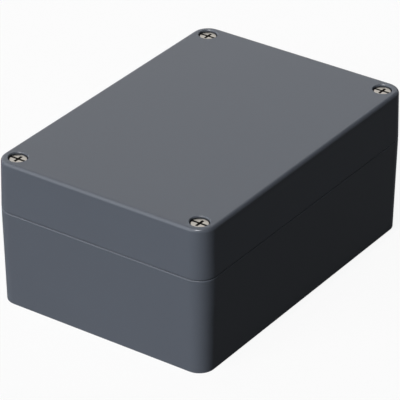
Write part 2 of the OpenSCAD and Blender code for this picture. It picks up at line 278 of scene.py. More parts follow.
class BoxLamp(bpy.types.PropertyGroup):
    """One lamp of the studio, far away."""
    azimuth: FloatProperty(
        name="Azimuth", description="Direction that the light comes from",
        subtype="ANGLE", default=math.radians(180))
    elevation: FloatProperty(
        name="Elevation", description="Height that the light comes from",
        subtype="ANGLE", default=math.radians(36))
    width: FloatProperty(
        name="Width", description="Angle that the lamp takes in the sky",
        subtype="ANGLE", min=0, default=math.radians(4))
    level: FloatProperty(
        name="Level", description="Brightness, where 1 renders a white face square to it as white",
        min=0, default=0.5)
    mirrored: BoolProperty(
        name="Mirrored", description="The lamp shows in gloss alone, and lights no face",
        default=False)


# Each lamp's azimuth, elevation and width in degrees, its level, and whether it is mirrored.
# The key and the side lamp light the box, the glint draws highlights at the corners and the
# sheen along the edges, and the fills light the two far sides.
LAMPS = {
    "key_lamp": (180, 36, 4, 0.59, False),
    "glint_lamp": (190, 70, 8, 0.9, True),
    "sheen_lamp": (140, 38, 60, 0.32, True),
    "side_lamp": (162, 18, 40, 0.48, False),
    "right_fill": (5, 3, 30, 0.75, False),
    "back_fill": (85, 3, 30, 0.75, False),
}


class BoxStudio(bpy.types.PropertyGroup):
    """Camera, lamps, surroundings and floor."""
    azimuth: FloatProperty(
        name="Camera azimuth", description="Direction of the camera round the box",
        subtype="ANGLE", default=math.radians(-55.1755))
    elevation: FloatProperty(
        name="Camera elevation", description="Height of the camera over the box",
        subtype="ANGLE", default=math.radians(29.6485))
    roll: FloatProperty(
        name="Camera roll", description="Turn of the camera about its own line of sight",
        subtype="ANGLE", default=math.radians(0.077))
    distance: FloatProperty(
        name="Camera distance", description="Distance of the camera from its target",
        unit="LENGTH", min=0.3, default=1.40147)
    target_height: FloatProperty(
        name="Target height", description="Height of the point that the camera looks at",
        unit="LENGTH", default=0.042875)
    lens: FloatProperty(
        name="Lens", description="Focal length in millimetres, on a 36 mm wide sensor",
        unit="CAMERA", min=20, default=263.461)
    shift: FloatVectorProperty(
        name="Lens shift", description="Sideways and upward shift of the frame",
        subtype="XYZ", size=2, default=(-0.010094, -0.041266))
    lamps: CollectionProperty(
        name="Lamps", description="Lamps of the studio, each by its name", type=BoxLamp)
    ambient: FloatProperty(
        name="Ambient level", description="Light from all round",
        min=0, default=0.085)
    ambient_colour: FloatVectorProperty(
        name="Ambient colour", description="Colour of the light from all round",
        subtype="COLOR", size=3, min=0, max=1, default=(0.9, 0.96, 1.0))
    backdrop_azimuth: FloatProperty(
        name="Backdrop azimuth", description="Direction of the white side of the room",
        subtype="ANGLE", default=math.radians(90))
    backdrop_elevation: FloatProperty(
        name="Backdrop elevation", description="Height of the white side of the room",
        subtype="ANGLE", default=math.radians(26))
    front_level: FloatProperty(
        name="Front level", description="Brightness of the room's other side in reflections",
        subtype="FACTOR", min=0, max=1, default=0.15)
    floor_bounce: FloatProperty(
        name="Floor bounce", description="How much light the floor throws back on the box",
        subtype="FACTOR", min=0, max=1, default=0.06)
    floor_gloss: FloatProperty(
        name="Floor gloss", description="How white the floor is as metal and paint mirror it",
        subtype="FACTOR", min=0, max=1, default=0.06)
    shadow_share: FloatProperty(
        name="Shadow share", description="How much of the box's shadow the floor shows",
        subtype="FACTOR", min=0, max=1, default=0.1)


# ---------------------------------------------------------------- node helpers

def feed(tree, node, inputs):
    """Sets or links a node's inputs, each given by its name or number."""
    for label, value in inputs.items():
        socket = node.inputs[label]
        if isinstance(value, bpy.types.NodeSocket):
            tree.links.new(value, socket)
        else:
            socket.default_value = value


def add_node(tree, kind, inputs=None, **settings):
    """A node with its settings made and its inputs set or linked."""
    made = tree.nodes.new(kind)
    for name, value in settings.items():
        setattr(made, name, value)
    feed(tree, made, inputs or {})
    return made


def empty_tree(owner):
    """Turns on the nodes of a material or a world, and takes out the ones it starts with."""
    owner.use_nodes = True
    owner.node_tree.nodes.clear()
    return owner.node_tree


def maths(tree, operation, *values):
    """Output of a Math node on one to three values or sockets."""
    return add_node(tree, "ShaderNodeMath", dict(enumerate(values)), operation=operation).outputs[0]


def vector_maths(tree, operation, *values):
    """Output of a Vector Math node: its value where it gives one, else its vector."""
    made = add_node(
        tree, "ShaderNodeVectorMath", dict(enumerate(values)), operation=operation)
    return made.outputs["Value" if operation in ("LENGTH", "DOT_PRODUCT") else "Vector"]


def raised(tree, value, mask, amount):
    """A value with an amount of a mask added, or taken away where the amount is negative."""
    return maths(tree, "MULTIPLY_ADD", mask, amount, value)


def parts_of(tree, vector):
    """The X, Y and Z of a vector."""
    return add_node(tree, "ShaderNodeSeparateXYZ", {0: vector}).outputs


def joined(tree, x, y=0.0, z=0.0):
    """A vector made of its X, Y and Z."""
    return add_node(tree, "ShaderNodeCombineXYZ", {"X": x, "Y": y, "Z": z}).outputs[0]


def mix_values(tree, factor, a, b):
    """One number blended into another. A Mix node's inputs go by number, as it has the same
    names once for each kind of value."""
    made = add_node(tree, "ShaderNodeMix", {0: factor, 2: a, 3: b}, data_type="FLOAT")
    return made.outputs[0]


def mix_colours(tree, factor, a, b):
    """One colour blended into another."""
    made = add_node(tree, "ShaderNodeMix", {0: factor, 6: a, 7: b}, data_type="RGBA")
    return made.outputs[2]


def ramp(tree, value, low, high):
    """0 where the value is at low and 1 where it is at high, smoothly between."""
    made = add_node(
        tree, "ShaderNodeMapRange",
        {"Value": value, "From Min": low, "From Max": high}, interpolation_type="SMOOTHSTEP")
    return made.outputs["Result"]


def own_place(tree):
    """Place on the piece in its own frame, which stays put on it as it moves."""
    return add_node(tree, "ShaderNodeTexCoord").outputs["Object"]


def noise(tree, place, size, detail=2.0, roughness=0.5):
    """Noise from 0 to 1 whose features are about size across."""
    scale = maths(tree, "DIVIDE", 1.0, size)
    made = add_node(
        tree, "ShaderNodeTexNoise",
        {"Vector": place, "Scale": scale, "Detail": detail, "Roughness": roughness})
    return made.outputs["Fac"]


def bumped(tree, height):
    """The surface's normal with a height, in metres, pressed into it."""
    made = add_node(tree, "ShaderNodeBump", {"Height": height, "Strength": 1.0, "Distance": 1.0})
    return made.outputs["Normal"]


def blend_shaders(tree, factor, first, second, output):
    """Sends a blend of two shaders to the output of a material or a world."""
    mixed = add_node(
        tree, "ShaderNodeMixShader", {0: factor, 1: first.outputs[0], 2: second.outputs[0]})
    add_node(tree, output, {"Surface": mixed.outputs[0]})


def new_group(name, inputs, outputs):
    """An empty shader group: its tree, its input sockets by name, and its output node."""
    tree = bpy.data.node_groups.new(name, "ShaderNodeTree")
    for label, default in inputs.items():
        socket = tree.interface.new_socket(
            name=label, in_out="INPUT", socket_type="NodeSocketFloat")
        socket.default_value = default
    for label in outputs:
        tree.interface.new_socket(name=label, in_out="OUTPUT", socket_type="NodeSocketFloat")
    given = tree.nodes.new("NodeGroupInput").outputs
    return tree, given, tree.nodes.new("NodeGroupOutput")


def use_group(tree, name, inputs):
    """Places a shared effect in a material and gives its outputs."""
    return add_node(
        tree, "ShaderNodeGroup", inputs, node_tree=bpy.data.node_groups[name]).outputs


# ---------------------------------------------------------------- shared effects

def make_grain_group():
    """Fine bumps of one size, with a finer layer on top."""
    tree, given, result = new_group("Grain", {"Size": 1 * MM, "Fine Share": 0.3}, ["Height"])
    place = own_place(tree)
    coarse = noise(tree, place, given["Size"], detail=1.0)
    fine = noise(tree, place, maths(tree, "MULTIPLY", given["Size"], 0.23), detail=2.0)
    feed(tree, result, {"Height": mix_values(tree, given["Fine Share"], coarse, fine)})


def make_patch_group():
    """Broad, soft patches for uneven tone and gloss, from -1 to 1."""
    tree, given, result = new_group("Patches", {"Size": 30 * MM}, ["Value"])
    soft = noise(tree, own_place(tree), given["Size"], detail=4.0, roughness=0.6)
    spread = maths(tree, "MULTIPLY", maths(tree, "SUBTRACT", soft, 0.5), 4.0)
    feed(tree, result, {"Value": maths(tree, "MAXIMUM", maths(tree, "MINIMUM", spread, 1.0), -1.0)})


def make_edge_group():
    """Mask of outside edges that handling rubs, broken up by noise."""
    tree, given, result = new_group(
        "Edge Wear", {"Width": 0.5 * MM, "Break Up": 2 * MM}, ["Mask"])
    rounded = add_node(tree, "ShaderNodeBevel", {"Radius": given["Width"]}, samples=6)
    true = add_node(tree, "ShaderNodeNewGeometry").outputs["Normal"]
    # 1 on a flat face, and less the more an edge bends.
    flatness = vector_maths(tree, "DOT_PRODUCT", rounded.outputs["Normal"], true)
    bend = ramp(tree, flatness, low=0.995, high=0.8)
    patchy = noise(tree, own_place(tree), given["Break Up"], detail=3.0)
    broken = ramp(tree, patchy, low=0.35, high=0.65)
    feed(tree, result, {"Mask": maths(tree, "MULTIPLY", bend, broken)})


def make_dust_group():
    """Mask of thin dust on faces that look up, in specks that drift together."""
    tree, given, result = new_group(
        "Dust", {"Amount": 0.1, "Speck Size": 0.8 * MM}, ["Mask"])
    up = parts_of(tree, add_node(tree, "ShaderNodeNewGeometry").outputs["Normal"])["Z"]
    place = own_place(tree)
    grains = noise(tree, place, given["Speck Size"], detail=4.0, roughness=0.7)
    specks = ramp(tree, grains, low=0.45, high=0.75)
    drift = ramp(tree, noise(tree, place, 50 * MM, detail=2.0), low=0.3, high=0.7)
    lying = maths(tree, "MULTIPLY", ramp(tree, up, low=0.3, high=1.0), given["Amount"])
    settled = maths(tree, "MULTIPLY", specks, drift)
    feed(tree, result, {"Mask": maths(tree, "MULTIPLY", settled, lying)})


def make_turning_group():
    """Fine rings that a lathe leaves round a piece's own axis."""
    tree, given, result = new_group("Turning Marks", {"Spacing": 0.1 * MM}, ["Height"])
    parts = parts_of(tree, own_place(tree))
    across = vector_maths(tree, "LENGTH", joined(tree, parts["X"], parts["Y"]))
    step = maths(tree, "DIVIDE", maths(tree, "ADD", across, parts["Z"]), given["Spacing"])
    rings = noise(tree, joined(tree, step), size=1.0, detail=3.0)
    feed(tree, result, {"Height": rings})


def depth_below_sides(tree, given, flat, inset):
    """Depth below the sides of a casting, whose outline is a rectangle with round corners.
    flat is the place with its signs dropped, inset the way in to the corners' centres."""
    beyond_x, beyond_y = [
        maths(tree, "SUBTRACT", flat[axis], maths(tree, "SUBTRACT", given[half], inset))
        for axis, half in (("X", "Half Length"), ("Y", "Half Width"))]
    corner = vector_maths(tree, "LENGTH", joined(
        tree, maths(tree, "MAXIMUM", beyond_x, 0.0), maths(tree, "MAXIMUM", beyond_y, 0.0)))
    inner = maths(tree, "MINIMUM", maths(tree, "MAXIMUM", beyond_x, beyond_y), 0.0)
    return maths(tree, "SUBTRACT", given["Corner Radius"], maths(tree, "ADD", corner, inner))


def make_outside_group():
    """Masks of a casting's painted outside, of the painted shade in its screw wells and of the
    painted shade in the groove of its joint. The outside is found by depth below the casting's
    drafted skin."""
    tree, given, result = new_group("Outside Skin", {
        "Half Length": 85 * MM, "Half Width": 60 * MM, "Corner Radius": 9 * MM,
        "Joint Height": 50 * MM, "End Height": 0.0, "Lean": 1 * MM,
        "Screw X": 77 * MM, "Screw Y": 51 * MM, "Well Radius": 5 * MM, "Well Bottom": 1.0,
        "Wrap": 0.8 * MM, "Seam Reach": 0.6 * MM}, ["Mask", "Well", "Seam"])
    place = own_place(tree)
    flat = parts_of(tree, vector_maths(tree, "ABSOLUTE", place))
    up = parts_of(tree, place)["Z"]
    above_joint = maths(tree, "SUBTRACT", up, given["Joint Height"])
    # Share of the way from the joint to the closed end, where the draft leans furthest in.
    rise = maths(tree, "SUBTRACT", given["End Height"], given["Joint Height"])
    share = maths(tree, "DIVIDE", above_joint, rise)
    inset = raised(tree, given["Corner Radius"], share, given["Lean"])
    side_depth = depth_below_sides(tree, given, flat, inset)
    end_depth = maths(tree, "ABSOLUTE", maths(tree, "SUBTRACT", up, given["End Height"]))
    depth = maths(tree, "MINIMUM", side_depth, end_depth)
    # The screw wells are painted too, down to their seats.
    from_screw = vector_maths(tree, "LENGTH", joined(
        tree, maths(tree, "SUBTRACT", flat["X"], given["Screw X"]),
        maths(tree, "SUBTRACT", flat["Y"], given["Screw Y"])))
    in_well = maths(
        tree, "MULTIPLY", maths(tree, "LESS_THAN", from_screw, given["Well Radius"]),
        maths(tree, "GREATER_THAN", up, given["Well Bottom"]))
    # The paint's edge wanders by a fifth of its wrap either way.
    reach = raised(tree, 0.8, noise(tree, place, 0.9 * MM, detail=2.0), 0.4)
    near_skin = maths(
        tree, "LESS_THAN", depth, maths(tree, "MULTIPLY", given["Wrap"], reach))
    # Painted shade: darker in the wells below their mouths, and in the groove between the castings.
    below_mouth = ramp(tree, end_depth, low=0.3 * MM, high=1.2 * MM)
    nearness = maths(
        tree, "DIVIDE", maths(tree, "ABSOLUTE", above_joint), given["Seam Reach"])
    feed(tree, result, {
        "Mask": maths(tree, "MAXIMUM", near_skin, in_well),
        "Well": maths(tree, "MULTIPLY", in_well, below_mouth),
        "Seam": ramp(tree, nearness, low=1.0, high=0.2)})


def make_recess_group():
    """Mask of painted shade in a screw's driver slot and cross, deeper being darker."""
    tree, given, result = new_group("Driver Recess", {
        "Top": 35 * MM, "Slot Half Width": 0.7 * MM, "Arm Half Span": 3 * MM,
        "Arm Half Width": 0.8 * MM, "Slot Depth": 1.6 * MM, "Arm Depth": 2 * MM}, ["Mask"])
    place = own_place(tree)
    flat = parts_of(tree, vector_maths(tree, "ABSOLUTE", place))
    depth = maths(tree, "SUBTRACT", given["Top"], parts_of(tree, place)["Z"])
    margin = 0.06 * MM

    def within(value, limit):
        """1 where a value is under one of the group's inputs, with a small margin."""
        return maths(tree, "LESS_THAN", value, maths(tree, "ADD", given[limit], margin))

    slot = maths(
        tree, "MULTIPLY", within(flat["X"], "Slot Half Width"), within(depth, "Slot Depth"))
    arm = maths(
        tree, "MULTIPLY", within(flat["Y"], "Arm Half Width"),
        maths(tree, "MULTIPLY", within(flat["X"], "Arm Half Span"), within(depth, "Arm Depth")))
    below_top = ramp(tree, depth, low=0.03 * MM, high=0.18 * MM)
    recess = maths(tree, "MAXIMUM", slot, arm)
    feed(tree, result, {"Mask": maths(tree, "MULTIPLY", recess, below_top)})


GROUP_MAKERS = {
    "Grain": make_grain_group, "Patches": make_patch_group, "Edge Wear": make_edge_group,
    "Dust": make_dust_group, "Turning Marks": make_turning_group,
    "Outside Skin": make_outside_group, "Driver Recess": make_recess_group}


def make_groups():
    """Builds each shared effect that isn't there yet."""
    for name, maker in GROUP_MAKERS.items():
        if name not in bpy.data.node_groups:
            maker()


# ---------------------------------------------------------------- materials

def rgba(colour):
    """A colour with full cover."""
    return (*colour, 1.0)


def new_material(name):
    """A node material with only a Principled shader in it, its tree and that shader."""
    made = bpy.data.materials.new(name)
    tree = empty_tree(made)
    shader = tree.nodes.new("ShaderNodeBsdfPrincipled")
    add_node(tree, "ShaderNodeOutputMaterial", {"Surface": shader.outputs["BSDF"]})
    return made, tree, shader


def tinted(tree, colour, patches, amount):
    """A colour made a little lighter or darker by patches."""
    light = raised(tree, 1.0, patches, amount)
    return vector_maths(tree, "MULTIPLY", colour, joined(tree, light, light, light))


def laid_over(tree, below, colour, mask, strength):
    """A colour laid over another one where a mask is, as strongly as given."""
    return mix_colours(tree, maths(tree, "MULTIPLY", mask, strength), below, rgba(colour))


def outside_skin(tree, node, closed_height, well_bottom):
    """The masks of the outside, the wells and the joint of a casting."""
    scene = bpy.context.scene
    rim_x, rim_y = reach_between(node, JOINT_HEIGHT - RIM_REACH, JOINT_HEIGHT + RIM_REACH)
    end_x, _ = reach_between(node, closed_height - END_REACH, closed_height + END_REACH)
    return use_group(tree, "Outside Skin", {
        "Half Length": rim_x, "Half Width": rim_y, "Corner Radius": CORNER_RADIUS,
        "Joint Height": JOINT_HEIGHT, "End Height": closed_height,
        "Lean": max(rim_x - end_x, 0.0), "Screw X": SCREW_X, "Screw Y": SCREW_Y,
        "Well Radius": HEAD_RADIUS + WELL_CLEARANCE, "Well Bottom": well_bottom,
        "Wrap": scene.box_paint.wrap,
        "Seam Reach": scene.box_wear.lid_seam if node == "lid" else scene.box_wear.base_seam})


def casting_material(node, closed_height, well_bottom):
    """Powder coat outside and bare cast aluminium inside, for the base or the lid."""
    paint = bpy.context.scene.box_paint
    wear_and_shade = bpy.context.scene.box_wear
    made, tree, shader = new_material(f"Powder coat {node}")
    skin = outside_skin(tree, node, closed_height, well_bottom)
    painted = skin["Mask"]
    patches = use_group(tree, "Patches", {"Size": 35 * MM})["Value"]
    flow = use_group(tree, "Patches", {"Size": 9 * MM})["Value"]
    peel = use_group(tree, "Grain", {"Size": paint.peel_size, "Fine Share": 0.25})["Height"]
    cast = use_group(tree, "Grain", {"Size": 0.7 * MM, "Fine Share": 0.5})["Height"]
    rubbed = use_group(tree, "Edge Wear", {"Width": 0.6 * MM, "Break Up": 4 * MM})["Mask"]
    dust = use_group(tree, "Dust", {"Amount": wear_and_shade.dust, "Speck Size": 0.6 * MM})["Mask"]
    # Painted shade: masks of the screw wells and the joint's groove, scaled by how dark each is
    # painted.
    well = maths(tree, "MULTIPLY", skin["Well"], wear_and_shade.well_shade)
    seam_shade_mask = maths(tree, "MULTIPLY", skin["Seam"], wear_and_shade.seam_shade)

    coat = tinted(tree, paint.colour, patches, 0.015)
    coat = laid_over(tree, coat, wear_and_shade.rubbed_colour, rubbed, 0.12)
    coat = laid_over(tree, coat, wear_and_shade.dust_colour, dust, 0.35)
    # Painted shade: the wells and the joint's groove are painted near black.
    coat = mix_colours(tree, maths(tree, "MAXIMUM", well, seam_shade_mask), coat, rgba(wear_and_shade.shade_colour))
    bare = tinted(tree, paint.bare_colour, flow, 0.1)

    # Rubbed paint is smoother, and dust and the painted shade in the wells are duller.
    coat_rough = paint.roughness
    for mask, change in ((patches, 0.02), (rubbed, -0.08), (dust, 0.3), (well, 0.4)):
        coat_rough = raised(tree, coat_rough, mask, change)
    bare_rough = raised(tree, paint.bare_roughness, flow, 0.07)
    relief = mix_values(
        tree, painted, maths(tree, "MULTIPLY", cast, 12 * MICRON),
        maths(tree, "MULTIPLY", peel, paint.peel_depth))
    feed(tree, shader, {
        "Base Color": mix_colours(tree, painted, bare, coat),
        "Roughness": mix_values(tree, painted, bare_rough, coat_rough),
        "Metallic": maths(tree, "SUBTRACT", 1.0, painted),
        "Specular IOR Level": paint.gloss, "Normal": bumped(tree, relief)})
    return made


def plated_material(name, colour, roughness, rings, grain, top=None):
    """Plated or plain metal: turning marks and grain, each given as (size, depth), uneven
    gloss and brighter edges. A screw gives the height of its head's top above its tip, and
    gets painted shade in its driver recess."""
    made, tree, shader = new_material(name)
    patches = use_group(tree, "Patches", {"Size": 3 * MM})["Value"]
    turned = use_group(tree, "Turning Marks", {"Spacing": rings[0]})["Height"]
    grainy = use_group(tree, "Grain", {"Size": grain[0], "Fine Share": 0.4})["Height"]
    rubbed = use_group(tree, "Edge Wear", {"Width": 0.25 * MM, "Break Up": 0.8 * MM})["Mask"]
    brighter = [min(1.0, channel * 1.25) for channel in colour]
    tone = laid_over(tree, tinted(tree, colour, patches, 0.05), brighter, rubbed, 0.6)
    rough = raised(tree, raised(tree, roughness, patches, 0.04), rubbed, -0.08)
    if top is not None:
        sizes = bpy.context.scene.box_screws
        wear_and_shade = bpy.context.scene.box_wear
        # Painted shade: the driver slot and cross are painted dark, deeper being darker.
        painted_shade = use_group(tree, "Driver Recess", {
            "Top": top, "Slot Half Width": sizes.slot_width / 2,
            "Arm Half Span": sizes.cross_span / 2,
            "Arm Half Width": sizes.slot_width * ARM_SHARE / 2,
            "Slot Depth": sizes.slot_depth, "Arm Depth": sizes.cross_depth})["Mask"]
        tone = laid_over(tree, tone, wear_and_shade.recess_shade_colour, painted_shade, wear_and_shade.recess_shade)
        rough = raised(tree, rough, painted_shade, 0.3)
    relief = raised(tree, maths(tree, "MULTIPLY", turned, rings[1]), grainy, grain[1])
    feed(tree, shader, {
        "Base Color": tone, "Roughness": rough, "Metallic": 1.0, "Normal": bumped(tree, relief)})
    return made


def rubber_material():
    """Matt moulded rubber with a fine grain and a little dust."""
    made, tree, shader = new_material("Moulded rubber")
    patches = use_group(tree, "Patches", {"Size": 12 * MM})["Value"]
    grain = use_group(tree, "Grain", {"Size": 0.3 * MM, "Fine Share": 0.5})["Height"]
    dust = use_group(tree, "Dust", {"Amount": 0.4, "Speck Size": 0.5 * MM})["Mask"]
    tone = tinted(tree, bpy.context.scene.box_metal.rubber, patches, 0.12)
    feed(tree, shader, {
        "Base Color": mix_colours(tree, dust, tone, rgba((0.2, 0.19, 0.18))),
        "Roughness": raised(tree, 0.62, patches, 0.05), "Specular IOR Level": 0.35,
        "Normal": bumped(tree, maths(tree, "MULTIPLY", grain, 8 * MICRON))})
    return made


def shared_plating(name, colour, roughness, rings, grain, top=None):
    """The plated material of that name, made the first time that it is asked for."""
    made = bpy.data.materials.get(name)
    return made or plated_material(name, colour, roughness, rings, grain, top)


def nickel(top):
    """Nickel plate on a turned screw whose head's top is at a height above its tip."""
    return shared_plating(
        f"Nickel plate {top / MM:.1f} mm screw", bpy.context.scene.box_metal.nickel,
        roughness=0.3, rings=(0.09 * MM, 3 * MICRON), grain=(0.3 * MM, 2 * MICRON), top=top)


def spring_steel():
    """Dull spring steel, stamped or wound."""
    return shared_plating(
        "Spring steel", bpy.context.scene.box_metal.spring,
        roughness=0.36, rings=(0.2 * MM, 1 * MICRON), grain=(0.2 * MM, 4 * MICRON))


def zinc():
    """Zinc plate on stamped steel, which has no turning marks."""
    return shared_plating(
        "Zinc plate", bpy.context.scene.box_metal.zinc,
        roughness=0.38, rings=(0.4 * MM, 0.0), grain=(0.5 * MM, 6 * MICRON))


def tapped_metal():
    """Freshly cut aluminium in a tapped hole."""
    return shared_plating(
        "Tapped aluminium", bpy.context.scene.box_paint.bare_colour,
        roughness=0.34, rings=(0.1 * MM, 2 * MICRON), grain=(0.3 * MM, 2 * MICRON))


# ---------------------------------------------------------------- mesh helpers

def bridge(bm, lower, upper):
    """Joins two rows of points, given in the same order, with four-sided faces."""
    count = len(lower)
    for k in range(count):
        after = (k + 1) % count
        bm.faces.new((lower[k], lower[after], upper[after], upper[k]))


def tidy_mesh(bm):
    """Joins points that lie together, drops empty faces and turns the rest outward."""
    bmesh.ops.remove_doubles(bm, verts=bm.verts, dist=1e-8)
    bmesh.ops.dissolve_degenerate(bm, edges=bm.edges, dist=1e-8)
    bmesh.ops.recalc_face_normals(bm, faces=bm.faces)


def new_piece(name, bm, material, body, stands_for, place, flipped=False):
    """Turns a mesh into a finished piece that rides on a body and, unless stands_for is None,
    is shown in place of a node. A flipped piece is turned upside down."""
    tidy_mesh(bm)
    if not bm.faces:
        raise RuntimeError(f"{name} came out empty")
    mesh = bpy.data.meshes.new(name)
    bm.to_mesh(mesh)
    bm.free()
    mesh.shade_smooth()
    mesh.set_sharp_from_angle(angle=math.radians(32))
    mesh.materials.append(material)
    piece = bpy.data.objects.new(name, mesh)
    bpy.context.scene.collection.objects.link(piece)
    even = piece.modifiers.new("even shading", "WEIGHTED_NORMAL")
    even.keep_sharp = True
    piece.location = place
    if flipped:
        piece.rotation_euler = (math.pi, 0, 0)
    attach(piece, body)
    if stands_for:
        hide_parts(stands_for)


def ring(bm, radius, height, sides):
    """A round row of points."""
    return [
        bm.verts.new((
            radius * math.cos(2 * math.pi * k / sides),
            radius * math.sin(2 * math.pi * k / sides), height))
        for k in range(sides)]


def lathe(bm, outline, sides):
    """Turns an outline of (radius, height) pairs about the axis, and closes its last row."""
    rows = [ring(bm, radius, height, sides) for radius, height in outline]
    for lower, upper in zip(rows, rows[1:]):
        bridge(bm, lower, upper)
    bm.faces.new(rows[-1])


def rounded_corner(centre, radius, start, end, steps):
    """Points round a corner of an outline, from one angle to another, in degrees."""
    return [
        (centre[0] + radius * math.cos(math.radians(start + (end - start) * i / steps)),
         centre[1] + radius * math.sin(math.radians(start + (end - start) * i / steps)))
        for i in range(steps + 1)]


# One pitch of the thread: share of the pitch, and height from root to crest.
THREAD_FORM = (
    (0.0, 0.0), (0.13, 0.03), (0.42, 0.94), (0.455, 1.0), (0.545, 1.0), (0.58, 0.94), (0.87, 0.03))
# Depth of the screws' thread and of the holes' ridges, as shares of the pitch.
THREAD_DEPTH_SHARE = 0.61
RIDGE_DEPTH_SHARE = 0.5


def thread(bm, high, crest, pitch, sides, tip_radius):
    """An outside thread round the axis, from the tip at height 0 up to high. It fades out at
    its upper end, and the tip's cone, as steep as it is wide, cuts it back at the lower one."""
    root = crest - THREAD_DEPTH_SHARE * pitch
    fade_height = 0.4 * pitch
    form = len(THREAD_FORM)
    count = form * math.ceil(high / pitch + 2)
    rows = []
    for j in range(count):
        turn, step = divmod(j, form)
        share, lift = THREAD_FORM[step]
        row = []
        for k in range(sides):
            height = pitch * (turn - 1 + share + k / sides)
            held = min(max(height, 0.0), high)
            fade = min(1.0, max(0.0, (high - held) / fade_height))
            radius = min(root + (crest - root) * lift * fade, tip_radius + held)
            angle = 2 * math.pi * k / sides
            row.append(bm.verts.new((radius * math.cos(angle), radius * math.sin(angle), held)))
        rows.append(row)
    for j in range(count - 1):
        for k in range(sides - 1):
            bm.faces.new((rows[j][k], rows[j][k + 1], rows[j + 1][k + 1], rows[j + 1][k]))
        # Where a turn closes, its rows meet those of the next one.
        far = min(j + form, count - 1)
        beyond = min(j + form + 1, count - 1)
        if far < beyond:
            bm.faces.new((rows[j][-1], rows[far][0], rows[beyond][0], rows[j + 1][-1]))
    return root


def ridge_mesh(height, hole, pitch, sides, phase):
    """Ridges of an inside thread on the wall of a hole, up to a height, as one closed helical
    strip. A ridge passes the angle 0 at phase, and the strip thins out at both ends."""
    bm = bmesh.new()
    start = math.ceil(-phase / pitch * sides)
    end = math.floor((height - phase) / pitch * sides)
    half_root = 0.43 * pitch
    half_crest = 0.1 * pitch
    # The strip reaches its full depth in half a turn, and keeps some depth at its very ends.
    fade_steps = 0.5 * sides
    thinnest = 0.02
    rows = []
    for k in range(start, end + 1):
        angle = 2 * math.pi * k / sides
        centre = phase + pitch * k / sides
        fade = min(1.0, (k - start) / fade_steps, (end - k) / fade_steps)
        near = hole - RIDGE_DEPTH_SHARE * pitch * max(fade, thinnest)
        outline = (
            (hole, -half_root), (near, -half_crest), (near, half_crest), (hole, half_root))
        rows.append([
            bm.verts.new((
                radius * math.cos(angle), radius * math.sin(angle),
                min(max(centre + above, 0.0), height)))
            for radius, above in outline])
    for lower, upper in zip(rows, rows[1:]):
        bridge(bm, lower, upper)
    bm.faces.new(rows[0])
    bm.faces.new(reversed(rows[-1]))
    return bm


def cut(bm, tool_bm):
    """Cuts one closed mesh out of another, and gives what is left."""
    pair = []
    for name, source in (("cut_body", bm), ("cut_tool", tool_bm)):
        made = bpy.data.objects.new(name, bpy.data.meshes.new(name))
        source.to_mesh(made.data)
        source.free()
        bpy.context.scene.collection.objects.link(made)
        pair.append(made)
    body, tool = pair
    change = body.modifiers.new("cut", "BOOLEAN")
    change.object = tool
    change.operation = "DIFFERENCE"
    change.solver = "EXACT"
    bpy.context.view_layer.update()
    done = body.evaluated_get(bpy.context.evaluated_depsgraph_get())
    result = bmesh.new()
    result.from_mesh(done.to_mesh())
    done.to_mesh_clear()
    for made in pair:
        mesh = made.data
        bpy.data.objects.remove(made)
        bpy.data.meshes.remove(mesh)
    return result


def tapered_box(top_size, low_size, top, low):
    """A box that narrows from its top to its low end."""
    bm = bmesh.new()
    lower, upper = [
        [bm.verts.new((x * size[0] / 2, y * size[1] / 2, height)) for x, y in SQUARE]
        for size, height in ((low_size, low), (top_size, top))]
    bridge(bm, lower, upper)
    bm.faces.new(reversed(lower))
    bm.faces.new(upper)
    return bm


def recess_tools(top):
    """The driver slot across the head, and the tapered arm of the cross recess over it."""
    sizes = bpy.context.scene.box_screws
    clear = 1 * MM
    length = 2 * (HEAD_RADIUS + clear)
    width = sizes.slot_width
    # Shares of the width that the slot and the arm keep at their floors, and the share of
    # its span by which the arm's ends slope in.
    slot_floor = 0.94
    arm_floor = 0.9
    slope = 0.14
    slot = tapered_box(
        (width, length), (width * slot_floor, length), top + clear, top - sizes.slot_depth)
    span_above = sizes.cross_span * (1 + slope * clear / sizes.cross_depth)
    arm = tapered_box(
        (span_above, width * ARM_SHARE), (sizes.cross_span * (1 - slope), width * arm_floor),
        top + clear, top - sizes.cross_depth)
    return slot, arm


def ease_recess(bm, top):
    """Breaks the sharp edges that the driver recess leaves in the head's top."""
    steep = math.radians(50)
    level = 1e-7
    sharp = [
        edge for edge in bm.edges
        if edge.is_manifold and edge.calc_face_angle(0) > steep
        and all(abs(v.co.z - top) < level for v in edge.verts)]
    bmesh.ops.bevel(
        bm, geom=sharp, offset=0.07 * MM, offset_type="OFFSET", segments=2,
        affect="EDGES", profile=0.5, clamp_overlap=True)


def screw_mesh(seat, top, groove=None):
    """A cheese head screw on the Z axis, from its tip at height 0 up to the top of its head,
    with a right-hand thread and, between two heights, a groove for its clip."""
    sizes = bpy.context.scene.box_screws
    crest = sizes.crest_radius
    shank = sizes.shank_radius
    tip_radius = crest - sizes.tip_chamfer
    thread_end = groove[0] if groove else seat - 0.5 * MM
    bm = bmesh.new()
    root = thread(bm, thread_end, crest, sizes.pitch, sizes.sides, tip_radius)
    bm.faces.new(reversed(ring(bm, tip_radius, 0.0, sizes.sides)))
    outline = [(root, thread_end)]
    if groove:
        shoulder = 0.1 * MM
        outline += [
            (sizes.groove_radius, groove[0]), (sizes.groove_radius, groove[1]),
            (shank - shoulder, groove[1]), (shank, groove[1] + shoulder), (shank, seat)]
    else:
        outline += [(crest, seat)]
    under = 0.12 * MM
    edge = sizes.head_edge
    outline += rounded_corner((HEAD_RADIUS - under, seat + under), under, -90, 0, steps=4)
    outline += rounded_corner((HEAD_RADIUS - edge, top - edge), edge, 0, 90, steps=6)
    outline += [(HEAD_RADIUS * 0.5, top)]
    lathe(bm, outline, sizes.sides)
    tidy_mesh(bm)
    for tool in recess_tools(top):
        bm = cut(bm, tool)
    ease_recess(bm, top)
    return bm


